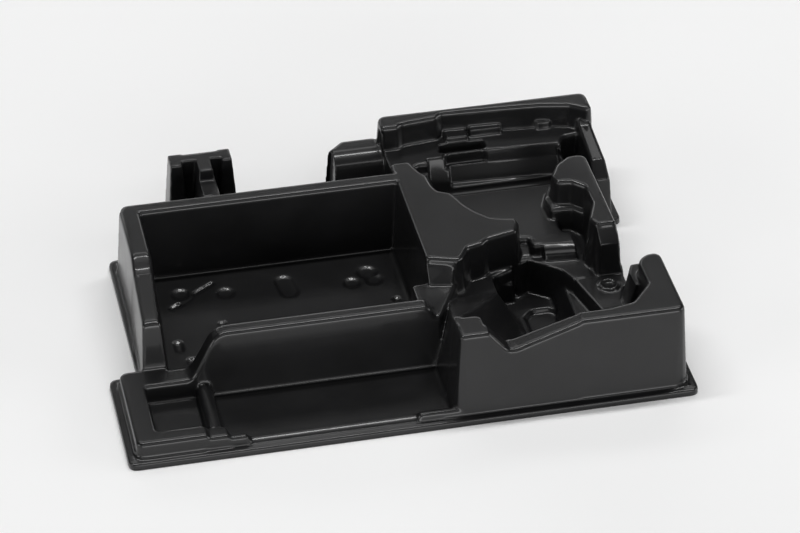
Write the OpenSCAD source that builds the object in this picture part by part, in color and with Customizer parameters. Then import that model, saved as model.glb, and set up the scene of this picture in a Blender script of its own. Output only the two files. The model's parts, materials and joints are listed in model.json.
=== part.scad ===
// Insert tray of a carrying case: one thin sheet, drawn into deep nests over a turned-down rim.
// Origin: centre of the rim in plan, at the rim's bottom. X runs along the long side, Y to the
// back, Z up. Lengths are millimetres. Plan shares count from the rim's front left corner.

/* [Overall] */
// Length of the rim along X
body_w = 376; // [300:1:420]
// Depth of the rim along Y
body_d = 281; // [220:1:320]
// Thickness of the drawn sheet
wall = 1.6; // [1:0.1:3]
// Sideways lean of every drawn wall for each unit of its height
draft_share = 0.07; // [0.03:0.01:0.12]

/* [Rim] */
// Height of the turned-down rim
rim_h = 4.5; // [3:0.5:8]
// Width of the flat ledge between the rim's edge and the walls
ledge_w = 5.5; // [3:0.5:8]
// Rounding of the rim's upper edge
rim_edge_r = 1.2; // [0.5:0.1:2]

/* [Levels] */
// Height of the compartment floors
floor_h = 1.6; // [1:0.1:4]
// Height of the low sill in front of the long compartment
sill_h = 6; // [4:0.5:10]
// Height of the raised step at the sill's right end
step_h = 9.2; // [6:0.1:14]
// Height of the rib at the small pocket
rib_h = 12.5; // [8:0.5:20]
// Height of the corner block at the front left
corner_h = 15.5; // [10:0.5:25]
// Height of the lowest tread in the nest
tread_h = 18; // [12:0.5:25]
// Height of the ledge behind the deep cavity
shelf_h = 29; // [20:0.5:36]
// Height of the nest's middle plateau
mid_h = 38; // [30:0.5:44]
// Height of the small landing at the divider's right end
landing_h = 40; // [32:0.5:46]
// Height of the step block and of the ledge before the back wall
back_ledge_h = 46.5; // [40:0.5:50]
// Height of the left wall's lower part
side_h = 48; // [40:0.5:54]
// Height of the divider between the compartments
divider_h = 48.5; // [40:0.5:54]
// Height of the post behind the compartment
post_h = 52.5; // [45:0.5:60]
// Height of the compartment's rim and of the plateau beside it
plateau_h = 56; // [50:0.5:62]
// Height of the tallest blocks
top_h = 65; // [58:0.5:75]

/* [Edges] */
// Rounding of a block's upper edge
crest_r = 2.4; // [1:0.1:4]
// Rounding of a block's foot
foot_r = 2.2; // [1:0.1:4]
// Rounding of the rib beside the small pocket
rib_edge_r = 4; // [2:0.1:5]
// Plan radius of a block's ordinary corner
corner_r = 5; // [2:0.5:9]
// Plan radius of a tight corner
tight_r = 2.5; // [1:0.1:5]
// Plan radius of a wide corner
wide_r = 11; // [6:0.5:16]

/* [Floor marks] */
// Depth of the small marks sunk into the floor
mark_d = 1; // [0.5:0.1:1.2]
// Height above the floor that the marks' tools run past
mark_lip = 0.5; // [0.2:0.1:1]
// Radius of the round marks
dimple_r = 6.5; // [4:0.5:9]
// Radius of the smallest marks
pip_r = 2; // [1:0.1:3]
// Width of the marks drawn as strokes
stroke_w = 4.6; // [2:0.1:7]

/* [Cradle] */
// Radius of the round cradle in the nest
cradle_r = 14; // [10:0.5:18]
// Height of the cradle's lowest line
cradle_h = 17; // [12:0.5:22]

/* [Hidden] */
over = body_w / 10;
under = body_w / 20;
least_r = wall / 8;
half_share = 0.5;
arc_share = 0.3;
round_turns = 16;
cradle_step = 12;
cradle_stop = 36;

// Corner radii in plan, by their place in this list, and the steps that round them on each skin.
plan_r = [tight_r, corner_r, wide_r];
outer_turns = [2, 3, 5];
inner_turns = [1, 2, 3];

// A point in plan from its shares of the rim's length and depth.
function at(s) = [(s[0] - half_share) * body_w, (s[1] - half_share) * body_d];
// An outline's corners: shares of the plan, the radius and its steps.
function corners(list, t) =
  [for (s = list) [at(s).x, at(s).y, plan_r[s[2]], t > 0 ? inner_turns[s[2]] : outer_turns[s[2]]]];
function unit(v) = v / norm(v);
function cross2(a, b) = a.x * b.y - a.y * b.x;
function flat(p) = [p.x, p.y];

// One corner of an outline moved outward by grow and rounded.
function bend(before, here, next, grow) =
  let (a = unit(flat(here) - flat(before)), b = unit(flat(next) - flat(here)))
  let (na = [a.y, -a.x], nb = [b.y, -b.x], mid = (na + nb) / (1 + na * nb))
  let (side = cross2(a, b) > 0 ? 1 : -1, r = max(least_r, here[2] + side * grow))
  let (m = flat(here) + mid * grow - side * r * mid)
  let (start = atan2(na.y, na.x), sweep = atan2(cross2(na, nb), na * nb), turns = here[3])
  [for (i = [0 : turns]) m + side * r * [cos(start + sweep * i / turns), sin(start + sweep * i / turns)]];

function ring(c, grow) =
  let (n = len(c))
  [for (i = [0 : n - 1]) each bend(c[(i + n - 1) % n], c[i], c[(i + 1) % n], grow)];

// A closed solid through level rings: every level is how far the outline grows and its height.
module stack(c, levels) {
  rings = [for (l = levels) ring(c, l[0])];
  n = len(rings[0]);
  last = len(levels) - 1;
  polyhedron(
    points = [for (i = [0 : last]) each [for (p = rings[i]) [p.x, p.y, levels[i][1]]]],
    faces = concat(
      [[for (j = [0 : n - 1]) j]],
      [for (i = [0 : last - 1]) each [for (j = [0 : n - 1])
        [i * n + j, (i + 1) * n + j, (i + 1) * n + (j + 1) % n, i * n + (j + 1) % n]]],
      [[for (j = [n - 1 : -1 : 0]) last * n + j]]
    ),
    convexity = 10
  );
}

// A drafted block with a rounded crest and foot. The outline is that of the crest, t is how far
// the skin lies inside: the inner skin is sharp and has no foot.
module block(list, top, base, t = 0, edge = crest_r) {
  c = corners(list, t);
  function lean(z) = draft_share * (top - z) - t;
  levels = t > 0
    ? [[lean(-under), -under], [lean(top - edge), top - edge], [-edge / 2 - t, top - t]]
    : [
        [lean(base) + foot_r, base - floor_h / 2],
        [lean(base) + foot_r, base],
        [lean(base) + foot_r * arc_share, base + foot_r * arc_share],
        [lean(base + foot_r), base + foot_r],
        [lean(top - edge), top - edge],
        [-edge * arc_share, top - edge * arc_share],
        [-edge, top]
      ];
  stack(c, levels);
}

// A drafted hollow with a rounded floor. The outline is that of its mouth at height rim.
module hollow(list, bottom, rim, t = 0, lean_share = draft_share) {
  c = corners(list, t);
  function lean(z) = t - lean_share * (rim - z);
  levels = [
    [lean(bottom) - foot_r, bottom - t],
    [lean(bottom + foot_r) - foot_r * arc_share, bottom - t + foot_r * arc_share],
    [lean(bottom + foot_r), bottom - t + foot_r],
    [lean(rim), rim],
    [lean(rim), rim + over]
  ];
  stack(c, levels);
}

// One station of a run moved t inward: down from the crest line, and in from the run's two ends.
function inward(stations, i, t) =
  let (last = len(stations) - 1, s = stations[i])
  let (a = stations[max(i - 1, 0)], b = stations[min(i + 1, last)])
  let (da = i > 0 ? unit([s[0] - a[0], s[1] - a[1]]) : unit([b[0] - s[0], b[1] - s[1]]))
  let (db = i < last ? unit([b[0] - s[0], b[1] - s[1]]) : da)
  let (mid = ([-da.y, da.x] + [-db.y, db.x]) / (1 + da * db), end = i == 0 ? 1 : i == last ? -1 : 0)
  let (steep_end = end * db.y / db.x)
  end == 0
    ? [s[0] - t * mid.x, s[1] - t * mid.y, s[2], s[3]]
    : [s[0] + end * t, s[1] + t * (steep_end - norm([1, steep_end])), s[2], s[3]];

// A wall run along X (or along Y when turned): stations are the place along the run, the crest's
// height, and the two feet at the rim's bottom. leans are the slopes of its two sides.
module run(outer, leans, t = 0, turned = false, edge = crest_r) {
  stations = t > 0 ? [for (i = [0 : len(outer) - 1]) inward(outer, i, t)] : outer;
  n = t > 0 ? 6 : 8;
  last = len(stations) - 1;
  function side(s, z) = s[2] + leans[0] * z + t;
  function far(s, z) = s[3] - leans[1] * z - t;
  function section(s) = let (h = s[1], e = min(edge, max(h - rim_h, 0) + least_r))
    t > 0
      ? [
          [side(s, -under), -under], [side(s, h - e), h - e], [side(s, h) + e * half_share, h],
          [far(s, h) - e * half_share, h], [far(s, h - e), h - e], [far(s, -under), -under]
        ]
      : [
          [side(s, 0), 0], [side(s, h - e), h - e],
          [side(s, h) + e * arc_share, h - e * arc_share], [side(s, h) + e, h],
          [far(s, h) - e, h], [far(s, h) - e * arc_share, h - e * arc_share],
          [far(s, h - e), h - e], [far(s, 0), 0]
        ];
  function place(s, p) = turned ? [p[0], s[0], p[1]] : [s[0], p[0], p[1]];
  function wound(f) = turned ? [for (k = [len(f) - 1 : -1 : 0]) f[k]] : f;
  function side_face(i, j) = let (k = (j + 1) % n)
    wound([i * n + j, i * n + k, (i + 1) * n + k, (i + 1) * n + j]);
  polyhedron(
    points = [for (s = stations) each [for (p = section(s)) place(s, p)]],
    faces = concat(
      [wound([for (j = [n - 1 : -1 : 0]) j])],
      [for (i = [0 : last - 1]) each [for (j = [0 : n - 1]) side_face(i, j)]],
      [wound([for (j = [0 : n - 1]) last * n + j])]
    ),
    convexity = 10
  );
}

// A convex lump around points given as plan shares and heights.
module lump(points, t = 0) {
  n = len(points);
  mid = [for (a = [0, 1]) [for (p = points) at(p)[a]] * [for (p = points) 1 / n]];
  function inner(p) = at(p) + unit(mid - at(p)) * t;
  hull() polyhedron(
    points = t > 0
      ? concat([for (p = points) [inner(p).x, inner(p).y, p[2] - t]],
          [for (p = points) [inner(p).x, inner(p).y, -under]])
      : [for (p = points) [at(p).x, at(p).y, p[2]]],
    faces = [[for (i = [0 : n - 1]) i]]
  );
}

// A mark sunk into the floor: a round one, or a stroke from one point to another. The sheet is
// drawn thinner there, so the underside stays flat.
module mark(from, to, r) hull() for (s = [from, to])
  translate([at(s).x, at(s).y, floor_h - mark_d])
    cylinder(h = mark_d + mark_lip, r1 = r - mark_d * half_share, r2 = r + mark_lip * half_share,
      $fn = round_turns);

// The rim: both short sides step in, and the back left corner is left out.
rim_shares = [
  [0, 0, 1], [1, 0, 1], [1, 0.327, 1], [0.949, 0.327, 0], [0.949, 0.701, 0], [1, 0.701, 1],
  [1, 1, 1], [0.16, 1, 1], [0.16, 0.797, 0], [0.051, 0.797, 1], [0.051, 0.327, 0], [0, 0.327, 1]
];

// The low block in the front left corner.
corner_shares = [
  [0.016, 0.021, 1], [0.138, 0.021, 0], [0.138, 0.285, 0], [0.101, 0.285, 0], [0.101, 0.356, 0],
  [0.064, 0.356, 0], [0.064, 0.299, 0], [0.016, 0.299, 1]
];

// The small pocket in that block.
small_floor_shares = [
  [0.053, 0.064, 0], [0.16, 0.064, 0], [0.16, 0.238, 0], [0.053, 0.238, 0]
];

// The floor of the long front compartment.
long_floor_shares = [
  [0.16, 0.041, 0], [0.582, 0.041, 0], [0.582, 0.242, 0], [0.16, 0.242, 0]
];

// The floor of the deep compartment behind the divider.
rear_floor_shares = [
  [0.098, 0.299, 0], [0.582, 0.299, 0], [0.582, 0.733, 0], [0.098, 0.733, 0]
];

// The compartment's back wall.
back_rim_shares = [
  [0.074, 0.722, 0], [0.612, 0.722, 0], [0.612, 0.762, 0], [0.074, 0.762, 1]
];

// The plateau right of the compartment, with the wavy edge that follows the tool.
plateau_shares = [
  [0.578, 0.395, 0], [0.629, 0.372, 0], [0.641, 0.381, 0], [0.657, 0.416, 0], [0.686, 0.427, 0],
  [0.697, 0.441, 0], [0.753, 0.459, 0], [0.763, 0.491, 0], [0.761, 0.516, 0], [0.739, 0.52, 0],
  [0.718, 0.53, 0], [0.697, 0.562, 1], [0.681, 0.598, 0], [0.673, 0.63, 0], [0.665, 0.651, 0],
  [0.644, 0.665, 0], [0.638, 0.694, 0], [0.636, 0.73, 0], [0.625, 0.754, 0], [0.614, 0.802, 0],
  [0.578, 0.802, 0]
];

// The narrow shelf just below the plateau's edge.
crescent_shares = [
  [0.606, 0.527, 0], [0.718, 0.541, 0], [0.702, 0.569, 1], [0.689, 0.605, 0], [0.681, 0.641, 0],
  [0.668, 0.669, 0], [0.606, 0.676, 0]
];

// The tall arm at the right, hooked round the tool's head.
arm_shares = [
  [0.924, 0.399, 0], [0.924, 0.698, 1], [0.891, 0.698, 1], [0.864, 0.669, 1], [0.848, 0.626, 1],
  [0.851, 0.591, 0], [0.878, 0.587, 1], [0.899, 0.559, 1], [0.899, 0.498, 1], [0.88, 0.431, 1],
  [0.888, 0.399, 0]
];

// The step round the arm's foot.
arm_foot_shares = [
  [0.918, 0.527, 0], [0.918, 0.692, 0], [0.888, 0.692, 0], [0.851, 0.676, 1], [0.835, 0.626, 1],
  [0.838, 0.573, 0], [0.878, 0.569, 0], [0.904, 0.527, 0]
];

// The tall back wall.
back_wall_shares = [
  [0.578, 0.907, 0], [0.609, 0.907, 0], [0.617, 0.918, 0], [0.686, 0.929, 0], [0.697, 0.943, 0],
  [0.811, 0.936, 0], [0.883, 0.929, 1], [0.936, 0.915, 1], [0.975, 0.879, 0], [0.975, 0.964, 1],
  [0.578, 0.964, 1]
];

// The ledge before the back wall, and the step block beside it.
back_ledge_shares = [
  [0.479, 0.811, 0], [0.614, 0.811, 0], [0.638, 0.827, 0], [0.686, 0.827, 0], [0.691, 0.865, 0],
  [0.769, 0.865, 0], [0.774, 0.827, 0], [0.902, 0.827, 0], [0.918, 0.875, 1], [0.963, 0.883, 0],
  [0.963, 0.947, 0], [0.596, 0.947, 0], [0.572, 0.972, 0], [0.511, 0.972, 0], [0.479, 0.932, 0]
];

// The block that holds the cradle.
cradle_block_shares = [
  [0.596, 0.698, 0], [0.912, 0.698, 0], [0.912, 0.858, 0], [0.596, 0.858, 0]
];

// The middle plateau of the nest.
mid_shares = [
  [0.787, 0.477, 0], [0.846, 0.477, 0], [0.851, 0.569, 0], [0.864, 0.633, 0], [0.864, 0.73, 0],
  [0.601, 0.73, 0], [0.601, 0.512, 0], [0.787, 0.512, 0]
];

// The lowest tread of the nest, and the way between plateau and arm.
tread_shares = [
  [0.83, 0.142, 0], [0.933, 0.142, 0], [0.933, 0.865, 0], [0.59, 0.865, 0], [0.59, 0.456, 0],
  [0.798, 0.452, 0], [0.83, 0.42, 0]
];

// The shelf behind the deep cavity.
shelf_shares = [
  [0.598, 0.359, 0], [0.654, 0.359, 0], [0.66, 0.377, 0], [0.684, 0.384, 0], [0.691, 0.406, 0],
  [0.737, 0.434, 0], [0.779, 0.463, 0], [0.779, 0.552, 0], [0.598, 0.552, 0]
];

// The small landing at the divider's right end.
landing_shares = [
  [0.548, 0.243, 0], [0.582, 0.243, 0], [0.621, 0.342, 0], [0.63, 0.377, 0], [0.548, 0.377, 0]
];

// The left end of the front wall before the cavity.
bump_shares = [
  [0.578, 0.034, 0], [0.628, 0.034, 0], [0.628, 0.114, 1], [0.578, 0.114, 0]
];

// The right part of that wall, with the tongue that runs back from its corner.
front_right_shares = [
  [0.787, 0.034, 0], [0.975, 0.034, 1], [0.975, 0.265, 1], [0.931, 0.265, 2], [0.931, 0.153, 1],
  [0.891, 0.089, 1], [0.846, 0.077, 0], [0.787, 0.077, 0]
];

// The post behind the compartment.
post_shares = [
  [0.186, 0.847, 0], [0.295, 0.847, 0], [0.295, 0.968, 1], [0.186, 0.968, 1]
];

// The rib before the post.
post_rib_shares = [
  [0.229, 0.776, 0], [0.253, 0.776, 0], [0.253, 0.89, 0], [0.229, 0.89, 0]
];

// The deep cavity's floor.
cavity_shares = [
  [0.666, 0.085, 0], [0.816, 0.085, 0], [0.816, 0.466, 0], [0.666, 0.466, 0]
];

// The eight-sided recess in that floor.
octagon_shares = [
  [0.723, 0.214, 0], [0.771, 0.214, 0], [0.79, 0.249, 0], [0.79, 0.356, 0], [0.774, 0.388, 0],
  [0.726, 0.388, 0], [0.707, 0.356, 0], [0.707, 0.249, 0]
];

// The sloping left side of the cavity.
cavity_side_points = [
  [0.578, 0.085, top_h], [0.59, 0.085, top_h], [0.578, 0.114, top_h], [0.59, 0.114, top_h],
  [0.614, 0.359, shelf_h], [0.622, 0.359, shelf_h], [0.569, 0.085, floor_h],
  [0.686, 0.085, floor_h], [0.569, 0.228, floor_h], [0.686, 0.42, floor_h], [0.614, 0.377, floor_h]
];

// The slanting facet where the plateau meets the landing.
facet_points = [
  [0.578, 0.406, plateau_h], [0.628, 0.384, plateau_h], [0.578, 0.358, landing_h],
  [0.616, 0.349, landing_h], [0.569, 0.352, floor_h], [0.628, 0.345, floor_h],
  [0.636, 0.406, floor_h], [0.569, 0.42, floor_h]
];

// The slanting facets before the arm.
arm_facet_points = [
  [0.888, 0.406, top_h], [0.924, 0.406, top_h], [0.891, 0.374, post_h], [0.927, 0.374, post_h],
  [0.886, 0.367, tread_h], [0.933, 0.367, tread_h], [0.883, 0.42, tread_h], [0.933, 0.42, tread_h]
];

// The slope from the cavity's floor up to the lowest tread.
tread_slope_points = [
  [0.803, 0.128, floor_h], [0.934, 0.128, floor_h], [0.803, 0.441, floor_h],
  [0.934, 0.441, floor_h], [0.83, 0.142, tread_h], [0.933, 0.142, tread_h], [0.83, 0.441, tread_h],
  [0.933, 0.441, tread_h]
];

function x_at(share) = at([share, 0]).x;
function y_at(share) = at([0, share]).y;
function between(a, b, share) = a + (b - a) * share;
// Stations of a run: places as shares, heights, and the two feet as shares of the other side.
function along_x(list) = [for (s = list) [x_at(s[0]), s[1], y_at(s[2]), y_at(s[3])]];
function along_y(list) = [for (s = list) [y_at(s[0]), s[1], x_at(s[2]), x_at(s[3])]];

// The divider: level, with a long bend down at the left and a dip at the right.
divider_shares = [
  [0.043, corner_h, 0.228, 0.292], [0.13, corner_h, 0.228, 0.292],
  [0.138, between(corner_h, divider_h, 0.045), 0.228, 0.292],
  [0.145, between(corner_h, divider_h, 0.15), 0.228, 0.292],
  [0.16, between(corner_h, divider_h, 0.485), 0.228, 0.292],
  [0.17, between(corner_h, divider_h, 0.73), 0.228, 0.292],
  [0.178, between(corner_h, divider_h, 0.865), 0.228, 0.292],
  [0.188, between(corner_h, divider_h, 0.96), 0.228, 0.292], [0.199, divider_h, 0.228, 0.292],
  [0.551, divider_h, 0.228, 0.292], [0.559, between(landing_h, divider_h, 0.8), 0.228, 0.292],
  [0.569, landing_h, 0.228, 0.292], [0.578, landing_h, 0.228, 0.292]
];

// The front edge: steps down from the corner block, a low sill, and a step at its right.
sill_shares = [
  [0.122, corner_h, 0.018, 0.068], [0.137, corner_h, 0.018, 0.068],
  [0.142, between(step_h, corner_h, 0.6), 0.018, 0.068],
  [0.173, between(step_h, corner_h, 0.6), 0.018, 0.068],
  [0.178, between(step_h, corner_h, 0.3), 0.018, 0.043],
  [0.205, between(step_h, corner_h, 0.3), 0.018, 0.043], [0.213, sill_h, 0.018, 0.043],
  [0.5, sill_h, 0.018, 0.043], [0.508, step_h, 0.018, 0.043], [0.59, step_h, 0.018, 0.043]
];

// The front wall's dip before the cavity.
front_wall_shares = [
  [0.612, top_h, 0.018, 0.093], [0.628, top_h, 0.018, 0.093],
  [0.657, between(landing_h, top_h, 0.48), 0.018, 0.093],
  [0.665, between(landing_h, top_h, 0.4), 0.018, 0.093],
  [0.678, between(landing_h, top_h, 0.4), 0.018, 0.093],
  [0.689, between(landing_h, top_h, 0.46), 0.018, 0.093],
  [0.787, between(landing_h, top_h, 0.95), 0.018, 0.093], [0.801, top_h, 0.018, 0.093],
  [0.851, top_h, 0.018, 0.093]
];

// The left wall: its front part lies lower and narrows.
left_wall_shares = [
  [0.294, corner_h, 0.055, 0.105], [0.316, between(corner_h, side_h, 0.9), 0.055, 0.105],
  [0.32, between(corner_h, side_h, 0.96), 0.055, 0.105],
  [0.329, between(corner_h, side_h, 0.985), 0.055, 0.105],
  [0.505, between(side_h, plateau_h, 0.2), 0.06, 0.114],
  [0.52, between(side_h, plateau_h, 0.38), 0.061, 0.115],
  [0.534, between(side_h, plateau_h, 0.68), 0.061, 0.116],
  [0.548, between(side_h, plateau_h, 0.93), 0.061, 0.117], [0.559, plateau_h, 0.061, 0.117],
  [0.74, plateau_h, 0.061, 0.117]
];

// The half-round rib at the small pocket.
rib_shares = [
  [0.05, rib_h, 0.142, 0.172], [0.242, rib_h, 0.142, 0.172]
];

// The ledge that runs forward from the back wall's right end.
right_ledge_shares = [
  [0.705, tread_h, 0.939, 0.984], [0.708, between(tread_h, landing_h, 0.93), 0.939, 0.984],
  [0.715, landing_h, 0.939, 0.984], [0.751, side_h, 0.939, 0.984], [0.875, post_h, 0.939, 0.984],
  [0.897, plateau_h, 0.939, 0.984], [0.932, plateau_h, 0.939, 0.984]
];

// Stroke marks on the compartment floor: two ends each. Round marks: one point each.
stroke_shares = [
  [[0.221, 0.673], [0.186, 0.637]], [[0.154, 0.6], [0.138, 0.589]]
];
dimple_shares = [[0.16, 0.653], [0.242, 0.635]];
clover_shares = [[0.473, 0.61], [0.505, 0.653], [0.511, 0.617]];
slot_shares = [[0.355, 0.601], [0.355, 0.655]];
pip_shares = [[0.221, 0.514], [0.54, 0.528], [0.154, 0.386]];
cradle_shares = [0.654, 0.895, 0.772, 0.847];

// The cradle's hollow: round below, its back side leaning up to the ledge.
module cradle(t) {
  y = y_at(cradle_shares[2]);
  back = y_at(cradle_shares[3]) + t;
  r = cradle_r + t;
  z = cradle_h + cradle_r;
  rise = (back_ledge_h - z) / (back - y - r * cos(cradle_stop));
  points = concat(
    [for (a = [180 : cradle_step : 360 - cradle_stop]) [y + r * cos(a), z + r * sin(a)]],
    [[back, back_ledge_h], [back + over / rise, back_ledge_h + over], [y - r, back_ledge_h + over]]
  );
  translate([x_at(cradle_shares[0]) - t, 0, 0]) rotate([90, 0, 90])
    linear_extrude(height = x_at(cradle_shares[1]) - x_at(cradle_shares[0]) + 2 * t) polygon(points);
}

steep = [draft_share, draft_share];

// The plate that the walls stand on: the rim's ledge and the sill-high ground inside it.
module ground(t) {
  c = corners(rim_shares, t);
  stack(c, t > 0
    ? [[-t, -under], [-t, rim_h - t]]
    : [[0, 0], [0, rim_h - rim_edge_r], [-rim_edge_r * arc_share, rim_h - rim_edge_r * arc_share],
       [-rim_edge_r, rim_h]]);
  inset = ledge_w + t;
  edge = sill_h - rim_h;
  stack(c, t > 0
    ? [[-inset - edge, -under], [-inset - edge, sill_h - t]]
    : [[-inset, rim_h * half_share], [-inset, rim_h],
       [-inset - edge * arc_share, sill_h - edge * arc_share], [-inset - edge, sill_h]]);
}

// The hollows that go down into the ground plate and the corner block.
module floors(t) {
  hollow(small_floor_shares, floor_h, corner_h, t);
  hollow(long_floor_shares, floor_h, sill_h, t);
  hollow(rear_floor_shares, floor_h, sill_h, t);
  hollow(cavity_shares, rim_h, sill_h, t);
  hollow(octagon_shares, floor_h, rim_h, t);
}

// Everything left of the nest that rises from the floors.
module left_walls(t) {
  run(along_x(sill_shares), steep, t, edge = foot_r);
  run(along_y(rib_shares), steep, t, turned = true, edge = rib_edge_r);
  run(along_y(left_wall_shares), steep, t, turned = true);
  run(along_x(divider_shares), steep, t);
  block(back_rim_shares, plateau_h, floor_h, t);
  block(post_shares, post_h, rim_h, t);
  block(post_rib_shares, side_h, rim_h, t, foot_r);
}

// The nest's lower levels, before the cradle is sunk into them.
module nest_levels(t) {
  lump(tread_slope_points, t);
  block(tread_shares, tread_h, rim_h, t);
  block(shelf_shares, shelf_h, rim_h, t);
  block(mid_shares, mid_h, tread_h, t);
  block(back_ledge_shares, back_ledge_h, rim_h, t);
  block(cradle_block_shares, mid_h, tread_h, t);
}

// The nest's tall walls.
module nest_walls(t) {
  lump(cavity_side_points, t);
  block(bump_shares, top_h, floor_h, t);
  block(front_right_shares, top_h, rim_h, t);
  run(along_x(front_wall_shares), steep, t);
  block(landing_shares, landing_h, floor_h, t, foot_r);
  lump(facet_points, t);
  block(crescent_shares, between(mid_h, plateau_h, half_share), tread_h, t, foot_r);
  block(plateau_shares, plateau_h, floor_h, t);
  block(arm_foot_shares, back_ledge_h, rim_h, t);
  block(arm_shares, top_h, rim_h, t);
  lump(arm_facet_points, t);
  block(back_wall_shares, top_h, rim_h, t);
  run(along_y(right_ledge_shares), steep, t, turned = true);
}

module marks() {
  for (s = stroke_shares) mark(s[0], s[1], stroke_w * half_share);
  for (s = dimple_shares) mark(s, s, dimple_r);
  for (s = clover_shares) mark(s, s, dimple_r);
  for (s = pip_shares) mark(s, s, pip_r);
  mark(slot_shares[0], slot_shares[1], dimple_r);
}

// One skin of the tray as a solid: the outer for t = 0, the inner for t = wall.
module skin(t) {
  difference() {
    union() {
      ground(t);
      block(corner_shares, corner_h, rim_h, t);
    }
    floors(t);
  }
  difference() {
    nest_levels(t);
    cradle(t);
  }
  left_walls(t);
  nest_walls(t);
}

module case_insert() color("dimgray") difference() {
  skin(0);
  skin(wall);
  marks();
}

case_insert();
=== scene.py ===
"""The tray of a tool case: one sheet of black plastic, drawn over a mould, on a pale floor."""
import json
import math

import bmesh
import bpy
import numpy as np
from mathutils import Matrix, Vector
from mathutils.bvhtree import BVHTree

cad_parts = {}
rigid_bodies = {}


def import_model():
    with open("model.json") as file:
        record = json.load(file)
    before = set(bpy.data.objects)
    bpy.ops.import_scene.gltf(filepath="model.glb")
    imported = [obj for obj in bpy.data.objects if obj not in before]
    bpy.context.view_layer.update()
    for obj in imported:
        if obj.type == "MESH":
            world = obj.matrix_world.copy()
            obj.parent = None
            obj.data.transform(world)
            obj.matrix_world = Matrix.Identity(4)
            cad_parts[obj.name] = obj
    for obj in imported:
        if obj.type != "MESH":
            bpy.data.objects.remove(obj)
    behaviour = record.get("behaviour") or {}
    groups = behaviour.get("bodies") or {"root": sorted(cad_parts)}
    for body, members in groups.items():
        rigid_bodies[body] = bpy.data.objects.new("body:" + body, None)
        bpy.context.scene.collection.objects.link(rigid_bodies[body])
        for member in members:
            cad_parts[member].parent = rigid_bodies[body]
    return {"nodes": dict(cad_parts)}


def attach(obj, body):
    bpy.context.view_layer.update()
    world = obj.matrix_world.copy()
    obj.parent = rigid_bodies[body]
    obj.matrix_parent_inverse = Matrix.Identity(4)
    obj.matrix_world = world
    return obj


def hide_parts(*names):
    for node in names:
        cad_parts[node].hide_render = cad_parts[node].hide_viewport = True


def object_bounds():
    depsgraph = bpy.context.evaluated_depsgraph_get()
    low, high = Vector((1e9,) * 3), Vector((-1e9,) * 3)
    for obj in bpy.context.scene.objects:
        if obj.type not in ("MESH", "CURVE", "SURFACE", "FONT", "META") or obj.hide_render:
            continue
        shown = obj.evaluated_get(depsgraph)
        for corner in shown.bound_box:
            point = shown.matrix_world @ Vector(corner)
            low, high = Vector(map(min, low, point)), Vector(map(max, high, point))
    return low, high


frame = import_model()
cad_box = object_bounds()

# The skin, in metres: the sheet, the grain in which forms are joined, how far the mould goes on
# under the ground, where it is first cut off, how far off a face a look upwards starts, and how
# close loose corners are merged.
MM = 0.001
SHEET = 1.5 * MM
VOXEL = 0.8 * MM
SKIRT = 6 * MM
FIRST_CUT = -MM
HAIR = 0.04 * MM
MERGE = 0.001 * MM
SKIN_FACES = 84000
WIDEST_GAP = 16
SMOOTH_SHARE = 0.5
SMOOTH_ROUNDS = 10

# Everything from here to the lamps is in millimetres, from the rim's front left corner and its
# underside.
CORNER_X, CORNER_Y = cad_box[0][0], cad_box[0][1]
LEAN = 0.07

# Heights of the flat parts, and of where a form starts inside the one that carries it.
FLOOR = 1.6
CAVITY_FLOOR = 4.5
SHELF = 29
MID = 38
STEP_TOP = 46.5
POST = 52.5
PLATEAU = 56
CAVITY_FOOT = 4
FOOT = 5
BURIED = 20
WALL_FOOT = 40

# The step block's front runs round: its back, its radius, and every how many degrees up to which.
STEP_BACK = 263
STEP_ROUND = 16
STEP_TURNS = range(0, 80, 10)

# Floors that are pressed level and then marked: least x, largest x, least y, largest y. The skin
# belongs to a floor where it is no more than the reach above it.
REAR_FLOOR = (47, 206, 86, 192)
REAR_REACH = 0.9
CAVITY = (272, 314, 40, 116)
CAVITY_REACH = 0.6

# Marks in the rear floor: from, to, radius and how wide their sloping side is. Fine ones are only
# half as deep.
PIT = 1.45
FINE = 1
FLOOR_MARKS = [
    ((62.1, 178.9), (62.1, 178.9), 7.0, 3.0),
    ((71.2, 177.9), (84.4, 186.7), 2.2, 1.6),
    ((53.9, 164.2), (58.8, 167.3), 2.7, 1.8),
    ((59.7, 164.8), (68.6, 172.1), 0.9, 0.9),
    ((68.6, 172.1), (71.2, 177.9), 0.9, 0.9),
    ((92.3, 174.0), (92.3, 174.0), 7.0, 3.0),
    ((133.4, 178.5), (134.8, 166.5), 7.6, 3.0),
    ((178.3, 167.2), (178.3, 167.2), 6.8, 3.0),
    ((190.8, 177.0), (190.8, 177.0), 8.0, 3.0),
    ((193.8, 168.0), (193.8, 168.0), 7.0, 3.0),
    ((204.1, 142.8), (204.1, 142.8), 3.2, 2.2),
    ((83.7, 140.5), (83.7, 140.5), 2.6, 2.0),
    ((57.5, 104.1), (57.5, 104.1), 4.0, 2.4),
    ((51.5, 117.5), (51.5, 124.0), 3.6, 2.0),
]

# The eight-sided recess in the cavity: its middle, half its width and length, how far its cut
# corners lie from the middle along both axes together, and how wide its sloping side is.
RECESS_X, RECESS_Y = 295.5, 84
RECESS_HALF_X, RECESS_HALF_Y = 13, 24
RECESS_CORNER = 30
RECESS_SLOPE = 2
DIAGONAL = 0.707

# The sill along the front falls outwards about its middle line.
SILL = (68, 206, 4.8, 12.6)
SILL_LOW, SILL_HIGH = 4.9, 8
SILL_MIDDLE = 8.6
SILL_TILT = 0.33

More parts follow.
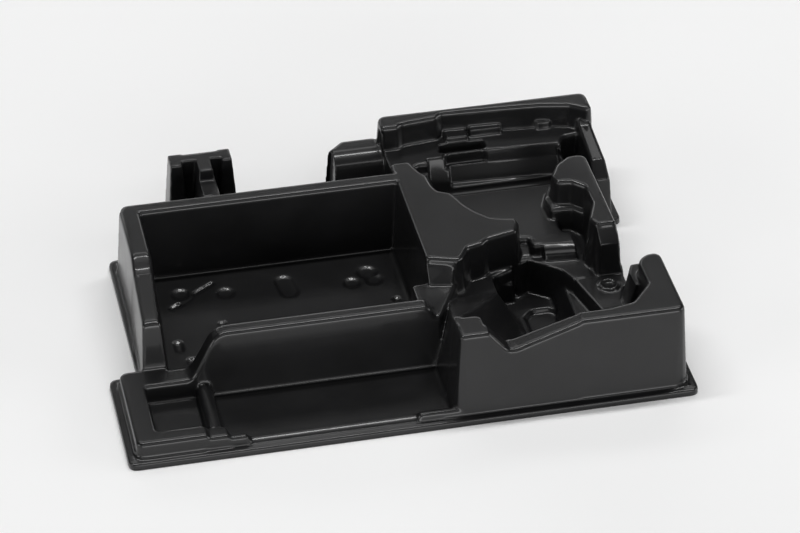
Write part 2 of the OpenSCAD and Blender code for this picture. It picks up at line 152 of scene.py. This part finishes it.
# Lamps: name, width and height in metres, watts, azimuth and elevation in degrees. Azimuth 0 is
# in front, 90 on the right, and past 90 degrees of elevation a lamp stands behind.
LAMPS = [
    ("top_strip", (3.0, 0.16), 38, 0, 100),
    ("back_strip", (3.0, 0.4), 8, 0, 130),
    ("far_strip", (3.0, 0.4), 11, 0, 160),
    ("front_box", (3.0, 0.7), 31, 0, 10),
    ("high_front_strip", (3.0, 0.4), 9, 0, 50),
    ("left_box", (1.6, 0.8), 13, -75, 15),
    ("right_box", (1.6, 0.8), 17, 75, 15),
]
LAMP_DISTANCE = 2.4
LAMP_AIM = Vector((0, 0, 0.03))
WHITE = (1, 1, 1, 1)
SURROUND_SEEN = 1
SURROUND_LIGHT = 0.02

# The camera's place in metres, its tilt and turn in degrees, and its lens and sensor in
# millimetres.
CAMERA_PLACE = (-0.3897, -1.8856, 1.4315)
CAMERA_TILT, CAMERA_TURN = 54, -12.2
CAMERA_LENS, CAMERA_SENSOR = 159.8, 36
CAMERA_REACH = 50


def clear_selection():
    """Nothing is selected and no object is in edit mode."""
    if bpy.context.mode != "OBJECT":
        bpy.ops.object.mode_set(mode="OBJECT")
    bpy.ops.object.select_all(action="DESELECT")


def work_on(obj):
    """This object alone is selected and active."""
    clear_selection()
    obj.select_set(True)
    bpy.context.view_layer.objects.active = obj


def apply(obj, kind, **values):
    """Adds a modifier with these values and applies it."""
    work_on(obj)
    mod = obj.modifiers.new(kind.lower(), kind)
    for name, value in values.items():
        setattr(mod, name, value)
    bpy.ops.object.modifier_apply(modifier=mod.name)


def cut_below(skin, height):
    """Takes off all of the skin that is under a height."""
    bpy.ops.object.mode_set(mode="EDIT")
    bpy.ops.mesh.select_all(action="SELECT")
    bpy.ops.mesh.bisect(plane_co=(0, 0, height), plane_no=(0, 0, 1), clear_inner=True)
    bpy.ops.object.mode_set(mode="OBJECT")


def at(x, y, z):
    """A place in metres from millimetres off the rim's front left corner."""
    return Vector((CORNER_X + x * MM, CORNER_Y + y * MM, z * MM))


def from_points(name, points, faces=()):
    """A mesh object from places in millimetres."""
    mesh = bpy.data.meshes.new(name)
    mesh.from_pydata([at(*p) for p in points], [], faces)
    obj = bpy.data.objects.new(name, mesh)
    bpy.context.scene.collection.objects.link(obj)
    return obj


def lump(name, points):
    """The closed hull of some places."""
    obj = from_points(name, points)
    work_on(obj)
    bpy.ops.object.mode_set(mode="EDIT")
    bpy.ops.mesh.select_all(action="SELECT")
    bpy.ops.mesh.convex_hull()
    bpy.ops.mesh.select_all(action="SELECT")
    bpy.ops.mesh.normals_make_consistent(inside=False)
    bpy.ops.object.mode_set(mode="OBJECT")
    return obj


def ring(name, centre, radius, thick):
    """A round bead lying flat."""
    clear_selection()
    bpy.ops.mesh.primitive_torus_add(location=at(*centre), major_radius=radius * MM,
                                     minor_radius=thick * MM, major_segments=32,
                                     minor_segments=12)
    obj = bpy.context.object
    obj.name = name
    bpy.ops.object.transform_apply(location=True, rotation=True, scale=True)
    return obj


def grown(outline, by):
    """An outline moved outwards by this many millimetres, its corners kept sharp."""
    turn = sum(a[0] * b[1] - b[0] * a[1] for a, b in zip(outline, outline[1:] + outline[:1]))
    side = 1 if turn > 0 else -1
    out = []
    count = len(outline)
    for i, p in enumerate(outline):
        before, after = outline[i - 1], outline[(i + 1) % count]
        normals = []
        for a, b in ((before, p), (p, after)):
            dx, dy = b[0] - a[0], b[1] - a[1]
            length = math.hypot(dx, dy)
            normals.append((side * dy / length, -side * dx / length))
        (ax, ay), (bx, by_) = normals
        scale = by / (1 + ax * bx + ay * by_)
        out.append((p[0] + (ax + bx) * scale, p[1] + (ay + by_) * scale))
    return out


def block(name, outline, top, base, lean=LEAN):
    """A closed block with drafted sides: the outline is that of its top."""
    foot = grown(outline, (top - base) * lean)
    count = len(outline)
    points = [(x, y, top) for x, y in outline] + [(x, y, base) for x, y in foot]
    sides = [(i, (i + 1) % count, count + (i + 1) % count, count + i) for i in range(count)]
    faces = [tuple(range(count)), tuple(range(2 * count - 1, count - 1, -1))] + sides
    obj = from_points(name, points, faces)
    work_on(obj)
    bpy.ops.object.mode_set(mode="EDIT")
    bpy.ops.mesh.select_all(action="SELECT")
    bpy.ops.mesh.quads_convert_to_tris()
    bpy.ops.mesh.normals_make_consistent(inside=False)
    bpy.ops.object.mode_set(mode="OBJECT")
    return obj


def upper_skin(node):
    """The faces of the CAD sheet that show from above, merged, as a new object in edit mode."""
    skin = bpy.data.objects.new("insert", node.data.copy())
    skin.matrix_world = node.matrix_world
    bpy.context.scene.collection.objects.link(skin)
    work_on(skin)
    bpy.ops.object.mode_set(mode="EDIT")
    bpy.ops.mesh.select_mode(type="FACE")
    bpy.ops.mesh.select_all(action="SELECT")
    bpy.ops.mesh.remove_doubles(threshold=MERGE)
    # A face over which another lies is the sheet's inner side.
    bm = bmesh.from_edit_mesh(skin.data)
    tree = BVHTree.FromBMesh(bm)
    up = Vector((0, 0, 1))
    bpy.ops.mesh.select_all(action="DESELECT")
    for face in bm.faces:
        start = face.calc_center_median() + face.normal * HAIR
        face.select = tree.ray_cast(start, up)[0] is not None
    bmesh.update_edit_mesh(skin.data)
    bpy.ops.mesh.delete(type="FACE")
    # Only what hangs together with the highest face stays.
    bm = bmesh.from_edit_mesh(skin.data)
    highest = max(bm.faces, key=lambda f: f.calc_center_median().z)
    bpy.ops.mesh.select_all(action="DESELECT")
    highest.select = True
    bmesh.update_edit_mesh(skin.data)
    bpy.ops.mesh.select_linked()
    bpy.ops.mesh.select_all(action="INVERT")
    bpy.ops.mesh.delete(type="FACE")
    return skin


def close_below(skin):
    """Small gaps are filled, then the skin goes on under the ground and is closed, as a mould."""
    bpy.ops.mesh.select_mode(type="EDGE")
    bpy.ops.mesh.select_all(action="SELECT")
    bpy.ops.mesh.fill_holes(sides=WIDEST_GAP)
    bm = bmesh.from_edit_mesh(skin.data)
    bpy.ops.mesh.select_all(action="DESELECT")
    for edge in bm.edges:
        edge.select = edge.is_boundary
    bmesh.update_edit_mesh(skin.data)
    bpy.ops.mesh.extrude_region_move(TRANSFORM_OT_translate={"value": (0, 0, -SKIRT)})
    bpy.ops.mesh.edge_face_add()
    bpy.ops.mesh.select_all(action="SELECT")
    bpy.ops.mesh.quads_convert_to_tris()
    bpy.ops.mesh.normals_make_consistent(inside=False)
    bpy.ops.object.mode_set(mode="OBJECT")


def cut_forms():
    """What is taken out of the main forms before the finer ones are laid on."""
    return [
        block("post_front", [(66, 226), (118, 226), (118, 262.5), (66, 262.5)],
              top=70, base=6.4, lean=0),
        block("shelf_notch", [(264.5, 98), (264.5, 117.5), (279, 119), (281, 134), (300, 134),
                              (306, 124), (306, 98)], top=30, base=4.7, lean=0),
        block("ledge_recess", [(258, 253.5), (289.5, 253.5), (290, 245), (285.4, 244),
                               (256, 244)], top=60, base=MID, lean=0),
        block("step_front", [(170, 226), (218.5, 226), (218.5, 262.5), (170, 262.5)],
              top=60, base=6.4, lean=0),
        lump("cradle_back", [
            (262, 224, 26), (340, 224, 26), (262, 234, 26), (340, 230, 26),
            (262, 224, 60), (340, 224, 60), (262, 234, 60), (340, 230, 60),
            (262, 240.5, 37), (340, 236.5, 37),
            (264, 242.5, 46), (340, 238.5, 46), (264, 242.5, 60), (340, 238.5, 60)]),
    ]


def step_points():
    """The step block: a front that runs round and leans on the left, over a plain foot."""
    points = []
    for x, side in ((184, -1), (219, 0)):
        for turn in STEP_TURNS:
            drop = STEP_ROUND * (1 - math.cos(math.radians(turn)))
            front = STEP_BACK - STEP_ROUND * math.sin(math.radians(turn))
            points.append((x + side * drop * LEAN, front, STEP_TOP - drop))
    return points + [(181, 236, FOOT), (219, 236, FOOT), (181, 264, FOOT), (219, 264, FOOT),
                     (184, 264, STEP_TOP), (219, 264, STEP_TOP)]


def nose_points():
    """The rounded nose before the middle plateau: how far out it is at each height, on both ends."""
    profile = ((-12, MID), (0, MID), (4, 36.5), (7, 33.5), (9, SHELF), (9.5, FOOT), (-12, FOOT))
    return [(x, y - out, z) for x, y in ((303, 135), (325, 133)) for out, z in profile]


def nest_forms():
    """The nest's finer steps, ramps and rounded noses, which lie on the main forms."""
    return [
        block("tread", [(338, 22), (351, 22), (351, 200), (320, 200), (320, 131.5), (302, 131.5),
                        (312, 121), (316.5, 112), (318, 101), (325.7, 70)],
              top=28.5, base=CAVITY_FOOT),
        lump("nose", nose_points()),
        ring("rest_ring", centre=(338, 92, 28.8), radius=5.5, thick=1.7),
        block("shelf", [(225, 97.5), (263.5, 97.5), (263.5, 130), (225, 130)],
              top=SHELF, base=CAVITY_FOOT),
        block("low_step", [(262, 117.8), (279, 119), (283, 136), (262, 136)],
              top=19, base=CAVITY_FOOT),
        block("shelf_right", [(286, 128), (292, 131), (304, 122.5), (312, 115), (317, 104),
                              (330, 104), (330, 150), (286, 150)],
              top=28.8, base=CAVITY_FOOT, lean=0.13),
        block("plateau_front", [(236.5, 104.5), (241, 107), (247, 117), (258, 120), (262, 124),
                                (283, 129), (287, 138), (286, 145), (270, 150), (236, 150)],
              top=PLATEAU - 1, base=CAVITY_FOOT),
        lump("ramp", [
            (287, 134, 28), (303, 134, 28), (287, 152, MID), (303, 152, MID),
            (287, 160, MID), (303, 160, MID), (287, 132.5, BURIED), (303, 132.5, BURIED),
            (287, 160, BURIED), (303, 160, BURIED)]),
        block("mid", [(302, 134), (323.5, 133), (317, 157), (320, 178), (325, 190), (325, 200),
                      (296, 200), (297, 151), (302, 146)], top=MID, base=BURIED),
        lump("tongue_back", [
            (346.5, 58, 52.5), (367.2, 58, 52.5), (345.8, 72, 52.5), (349, 80.5, 52.5),
            (362, 81, 52.5), (367.2, 76, 52.5),
            (341, 58, 28), (368.6, 58, 28), (342, 74, 28), (348, 89, 28),
            (362, 89, 28), (368.6, 82, 28),
            (340, 58, 6), (370, 58, 6), (341, 75, 6), (347, 89.5, 6), (362, 89.5, 6), (370, 84, 6)]),
        lump("cavity_side", [
            (217.3, 24, 65), (221.8, 24, 65), (217.3, 32, 65), (221.8, 32, 65),
            (231, 100, SHELF), (263.5, 98.5, SHELF),
            (231, 100, CAVITY_FOOT), (213.9, 24, CAVITY_FOOT), (280, 60, CAVITY_FOOT),
            (280.5, 80, CAVITY_FOOT), (274.5, 106, CAVITY_FOOT), (231, 108, CAVITY_FOOT),
            (272, 24, CAVITY_FOOT)]),
        lump("step_block", step_points()),
        lump("wedge", [
            (232, 250, STEP_TOP), (256.5, 260, STEP_TOP), (232, 256, STEP_TOP),
            (256.5, 262, STEP_TOP), (234.5, 242.5, MID), (257, 252.5, MID), (234.5, 256, MID),
            (257, 262, MID), (234.5, 242.5, BURIED), (257, 252.5, BURIED), (232, 262, BURIED),
            (257, 262, BURIED)]),
        block("arm_step", [(334.5, 108), (351, 104), (351, 120), (333, 122)],
              top=33.5, base=FOOT),
        block("wall_step_left", [(263.5, 254.5), (279, 254.5), (279, 268), (263.5, 268)],
              top=50.5, base=WALL_FOOT),
        block("wall_step_mid", [(281.5, 258), (303.5, 258), (303.5, 268), (281.5, 268)],
              top=52, base=WALL_FOOT),
        block("wall_step_right", [(329.5, 257.5), (338.5, 257.5), (338.5, 268), (329.5, 268)],
              top=52, base=WALL_FOOT),
        block("small_block", [(243.5, 238), (253.5, 236), (253.5, 250), (243.5, 250)],
              top=42, base=BURIED),
        block("post_left", [(70, 257.5), (78, 257.5), (79.5, 272), (70, 272)],
              top=POST, base=FOOT),
        block("post_right", [(106, 258.5), (113, 258.5), (113, 272), (104.5, 272)],
              top=POST, base=FOOT),
        block("post_rib", [(88, 214), (99.5, 214), (99.5, 266), (88, 266)], top=44, base=FOOT),
        block("post_rib_end", [(88.5, 248.5), (98, 248.5), (98, 268), (88.5, 268)],
              top=POST, base=FOOT),
    ]


def along(x, y, start, end):
    """Distances in millimetres from places to the line between two points."""
    dx, dy = end[0] - start[0], end[1] - start[1]
    length = dx * dx + dy * dy
    share = 0
    if length > 0:
        share = np.clip(((x - start[0]) * dx + (y - start[1]) * dy) / length, 0, 1)
    return np.hypot(x - start[0] - share * dx, y - start[1] - share * dy)


def eased(t):
    """A slope that runs out level at both ends, from shares that are held between 0 and 1."""
    t = np.clip(t, 0, 1)
    return t * t * (3 - 2 * t)


def over(x, y, z, area, low, high):
    """Which places lie over an area and between two heights."""
    left, right, front, back = area
    return (x > left) & (x < right) & (y > front) & (y < back) & (z > low) & (z < high)


def press(skin):
    """Presses the mould's marks into the floors, and tilts the sill. What is under ground stays."""
    count = len(skin.data.vertices)
    flat = np.empty(count * 3)
    skin.data.vertices.foreach_get("co", flat)
    co = flat.reshape(-1, 3)
    x, y, z = (co[:, 0] - CORNER_X) / MM, (co[:, 1] - CORNER_Y) / MM, co[:, 2] / MM

    rear = over(x, y, z, REAR_FLOOR, 0, FLOOR + REAR_REACH)
    z[rear] = np.maximum(z[rear], FLOOR)
    depth = np.zeros(count)
    for start, end, radius, slope in FLOOR_MARKS:
        deepest = PIT if radius > FINE else PIT / 2
        depth = np.maximum(depth, eased((radius - along(x, y, start, end)) / slope) * deepest)
    z[rear] -= depth[rear]

    cavity = over(x, y, z, CAVITY, 0, CAVITY_FLOOR + CAVITY_REACH)
    z[cavity] = np.maximum(z[cavity], CAVITY_FLOOR)
    off_x, off_y = np.abs(x - RECESS_X), np.abs(y - RECESS_Y)
    outside = np.maximum(off_x - RECESS_HALF_X, off_y - RECESS_HALF_Y)
    outside = np.maximum(outside, (off_x + off_y - RECESS_CORNER) * DIAGONAL)
    z[cavity] -= (eased(-outside / RECESS_SLOPE) * (CAVITY_FLOOR - FLOOR))[cavity]

    sill = over(x, y, z, SILL, SILL_LOW, SILL_HIGH)
    z[sill] += (y[sill] - SILL_MIDDLE) * SILL_TILT
    co[:, 2] = z * MM
    skin.data.vertices.foreach_set("co", co.ravel())
    skin.data.update()


def drawn_sheet(node):
    """The sheet as it comes off the mould: all edges and corners run round, in an even wall."""
    skin = upper_skin(node)
    close_below(skin)
    for cut in cut_forms():
        apply(skin, "BOOLEAN", operation="DIFFERENCE", object=cut, solver="EXACT")
        bpy.data.objects.remove(cut)
    forms = nest_forms()
    work_on(skin)
    for form in forms:
        form.select_set(True)
    bpy.ops.object.join()
    apply(skin, "REMESH", mode="VOXEL", voxel_size=VOXEL)
    press(skin)
    apply(skin, "SMOOTH", factor=SMOOTH_SHARE, iterations=SMOOTH_ROUNDS)
    cut_below(skin, FIRST_CUT)
    # The faces are still quads here, and each becomes two triangles.
    apply(skin, "DECIMATE", ratio=min(1, SKIN_FACES / (2 * len(skin.data.polygons))),
          use_collapse_triangulate=True)
    cut_below(skin, 0)
    apply(skin, "SOLIDIFY", thickness=SHEET, offset=-1, use_even_offset=False)
    for vertex in skin.data.vertices:
        vertex.co.z = max(vertex.co.z, 0)
    bpy.ops.object.shade_smooth()
    return skin


def black_plastic():
    """Satin black sheet: a fine cast grain, and a tint and a sheen that change slowly over it."""
    mat = bpy.data.materials.new("satin_black_plastic")
    mat.use_nodes = True
    nodes, links = mat.node_tree.nodes, mat.node_tree.links
    shader = nodes["Principled BSDF"]
    place = nodes.new("ShaderNodeTexCoord").outputs["Object"]

    def noise(scale, detail):
        node = nodes.new("ShaderNodeTexNoise")
        node.inputs["Scale"].default_value = scale
        node.inputs["Detail"].default_value = detail
        links.new(place, node.inputs["Vector"])
        return node.outputs["Fac"]

    def ramp(source, low, high, start, end):
        node = nodes.new("ShaderNodeMapRange")
        node.inputs["From Min"].default_value = low
        node.inputs["From Max"].default_value = high
        node.inputs["To Min"].default_value = start
        node.inputs["To Max"].default_value = end
        links.new(source, node.inputs["Value"])
        return node.outputs["Result"]

    tint = nodes.new("ShaderNodeMix")
    tint.data_type = "RGBA"
    tint.inputs[6].default_value = (0.0045, 0.0045, 0.0048, 1)
    tint.inputs[7].default_value = (0.0075, 0.0075, 0.008, 1)
    patches = noise(scale=22, detail=3)
    links.new(ramp(patches, low=0.35, high=0.65, start=0, end=1), tint.inputs["Factor"])
    links.new(tint.outputs[2], shader.inputs["Base Color"])
    sheen = noise(scale=35, detail=4)
    links.new(ramp(sheen, low=0.3, high=0.7, start=0.32, end=0.42), shader.inputs["Roughness"])
    shader.inputs["Specular IOR Level"].default_value = 0.27
    shader.inputs["Coat Weight"].default_value = 0.45
    shader.inputs["Coat Roughness"].default_value = 0.1
    bump = nodes.new("ShaderNodeBump")
    bump.inputs["Strength"].default_value = 0.12
    bump.inputs["Distance"].default_value = 0.0002
    links.new(noise(scale=1400, detail=2), bump.inputs["Height"])
    links.new(bump.outputs["Normal"], shader.inputs["Normal"])
    return mat


def pale_floor():
    """A wide plain floor, a hair under the tray."""
    clear_selection()
    bpy.ops.mesh.primitive_plane_add(size=14, location=(0, 0, -0.02 * MM))
    floor = bpy.context.object
    floor.name = "floor"
    mat = bpy.data.materials.new("pale_floor")
    mat.use_nodes = True
    shader = mat.node_tree.nodes["Principled BSDF"]
    shader.inputs["Base Color"].default_value = (0.92, 0.92, 0.92, 1)
    shader.inputs["Roughness"].default_value = 0.85
    shader.inputs["Specular IOR Level"].default_value = 0.2
    floor.data.materials.append(mat)


def lamp(name, size, power, azimuth, elevation):
    """A soft box that faces the tray."""
    data = bpy.data.lights.new(name, "AREA")
    data.shape = "RECTANGLE"
    data.size, data.size_y = size
    data.energy = power
    obj = bpy.data.objects.new(name, data)
    bpy.context.scene.collection.objects.link(obj)
    az, el = math.radians(azimuth), math.radians(elevation)
    away = Vector((math.cos(el) * math.sin(az), -math.cos(el) * math.cos(az), math.sin(el)))
    obj.location = LAMP_AIM + away * LAMP_DISTANCE
    obj.rotation_euler = away.to_track_quat("Z", "Y").to_euler()


def studio():
    """Strips above and behind, boxes in front and at the sides, and a white surround.

    Only the camera sees the surround as white. To all else it is a faint even light."""
    for name, size, power, azimuth, elevation in LAMPS:
        lamp(name, size, power, azimuth, elevation)
    world = bpy.data.worlds.new("surround")
    bpy.context.scene.world = world
    world.use_nodes = True
    nodes, links = world.node_tree.nodes, world.node_tree.links
    seen = nodes["Background"]
    seen.inputs["Color"].default_value = WHITE
    seen.inputs["Strength"].default_value = SURROUND_SEEN
    lit = nodes.new("ShaderNodeBackground")
    lit.inputs["Color"].default_value = WHITE
    lit.inputs["Strength"].default_value = SURROUND_LIGHT
    path = nodes.new("ShaderNodeLightPath")
    mix = nodes.new("ShaderNodeMixShader")
    links.new(path.outputs["Is Camera Ray"], mix.inputs["Fac"])
    links.new(lit.outputs["Background"], mix.inputs[1])
    links.new(seen.outputs["Background"], mix.inputs[2])
    links.new(mix.outputs["Shader"], nodes["World Output"].inputs["Surface"])


def camera():
    """A long lens from the front, above and a little to the left, as in the photograph."""
    data = bpy.data.cameras.new("camera")
    data.lens = CAMERA_LENS
    data.sensor_width = CAMERA_SENSOR
    data.clip_end = CAMERA_REACH
    obj = bpy.data.objects.new("camera", data)
    bpy.context.scene.collection.objects.link(obj)
    obj.location = CAMERA_PLACE
    obj.rotation_euler = (math.radians(CAMERA_TILT), 0, math.radians(CAMERA_TURN))
    bpy.context.scene.camera = obj


camera()
studio()
pale_floor()
insert = drawn_sheet(frame["nodes"]["case_insert"])
insert.data.materials.clear()
insert.data.materials.append(black_plastic())
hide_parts("case_insert")
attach(insert, "root")

bpy.context.scene.view_settings.view_transform = "Standard"
